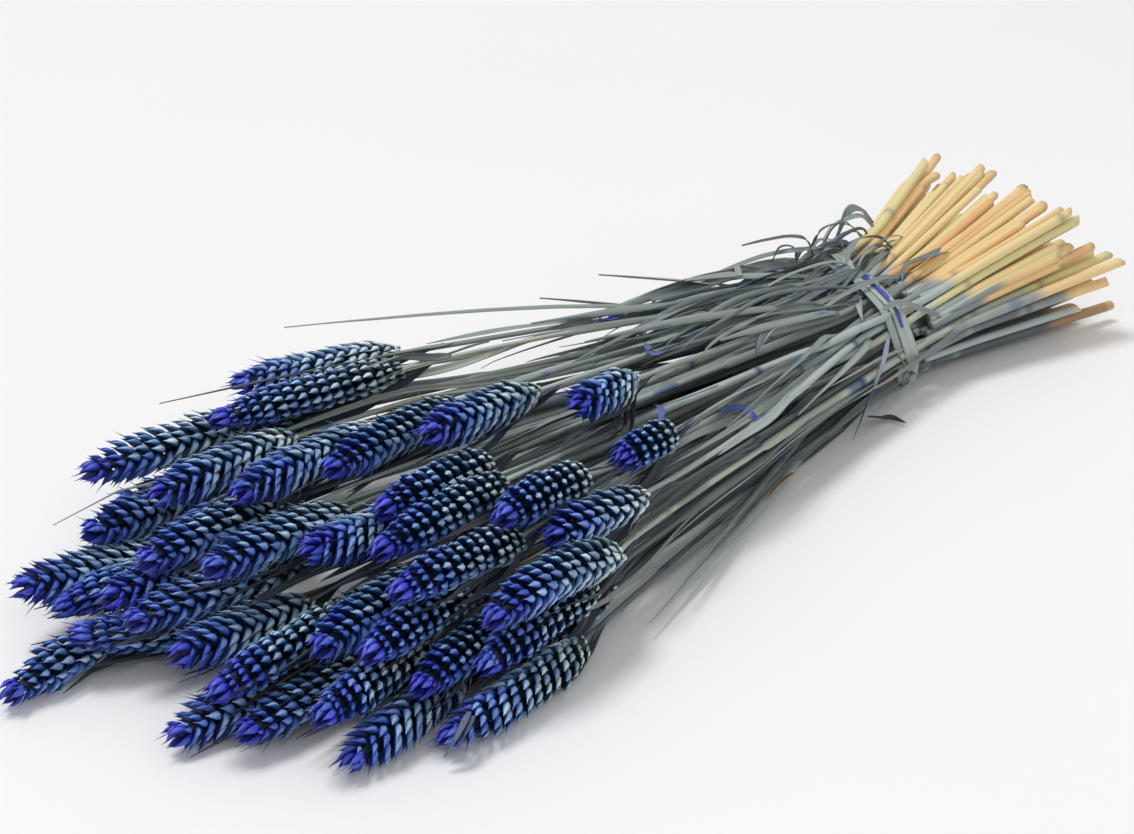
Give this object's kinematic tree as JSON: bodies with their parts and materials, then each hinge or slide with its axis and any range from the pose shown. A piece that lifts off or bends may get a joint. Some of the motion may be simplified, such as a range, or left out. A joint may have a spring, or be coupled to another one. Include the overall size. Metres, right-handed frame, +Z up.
{
  "type": "tied bunch of dyed wheat",
  "caption": "Tied bunch of dried wheat lying on its side, its fanned ears dyed blue, its long stalks grey-green and their cut ends straw yellow.",
  "frame": {"origin": "on the surface it lies on, under the middle of its outline", "axes": "+X along the stalks from the ears towards the cut ends, +Y across the fan, +Z up"},
  "size_m": [0.6938, 0.2812, 0.093],
  "materials": {
    "ear": "matt, dyed",
    "stalk": "satin, dyed straw",
    "tie": "matt raffia"
  },
  "bodies": {
    "root": {"ear_01": "ear", "ear_02": "ear", "ear_03": "ear", "ear_04": "ear", "ear_05": "ear", "ear_06": "ear", "ear_07": "ear", "ear_08": "ear", "ear_09": "ear", "ear_10": "ear", "ear_11": "ear", "ear_12": "ear", "ear_13": "ear", "ear_14": "ear", "ear_15": "ear", "ear_16": "ear", "ear_17": "ear", "ear_18": "ear", "ear_19": "ear", "ear_20": "ear", "ear_21": "ear", "ear_22": "ear", "ear_23": "ear", "ear_24": "ear", "ear_25": "ear", "ear_26": "ear", "ear_27": "ear", "ear_28": "ear", "ear_29": "ear", "ear_30": "ear", "ear_31": "ear", "ear_32": "ear", "ear_33": "ear", "ear_34": "ear", "ear_35": "ear", "ear_36": "ear", "ear_37": "ear", "ear_38": "ear", "ear_39": "ear", "ear_40": "ear", "ear_41": "ear", "ear_42": "ear", "ear_43": "ear", "ear_44": "ear", "ear_45": "ear", "strand_01": "stalk", "strand_02": "stalk", "strand_03": "stalk", "strand_04": "stalk", "strand_05": "stalk", "strand_06": "stalk", "strand_07": "stalk", "strand_08": "stalk", "strand_09": "stalk", "strand_10": "stalk", "strand_11": "stalk", "strand_12": "stalk", "strand_13": "stalk", "tie": "tie"}
  },
  "joints": []
}
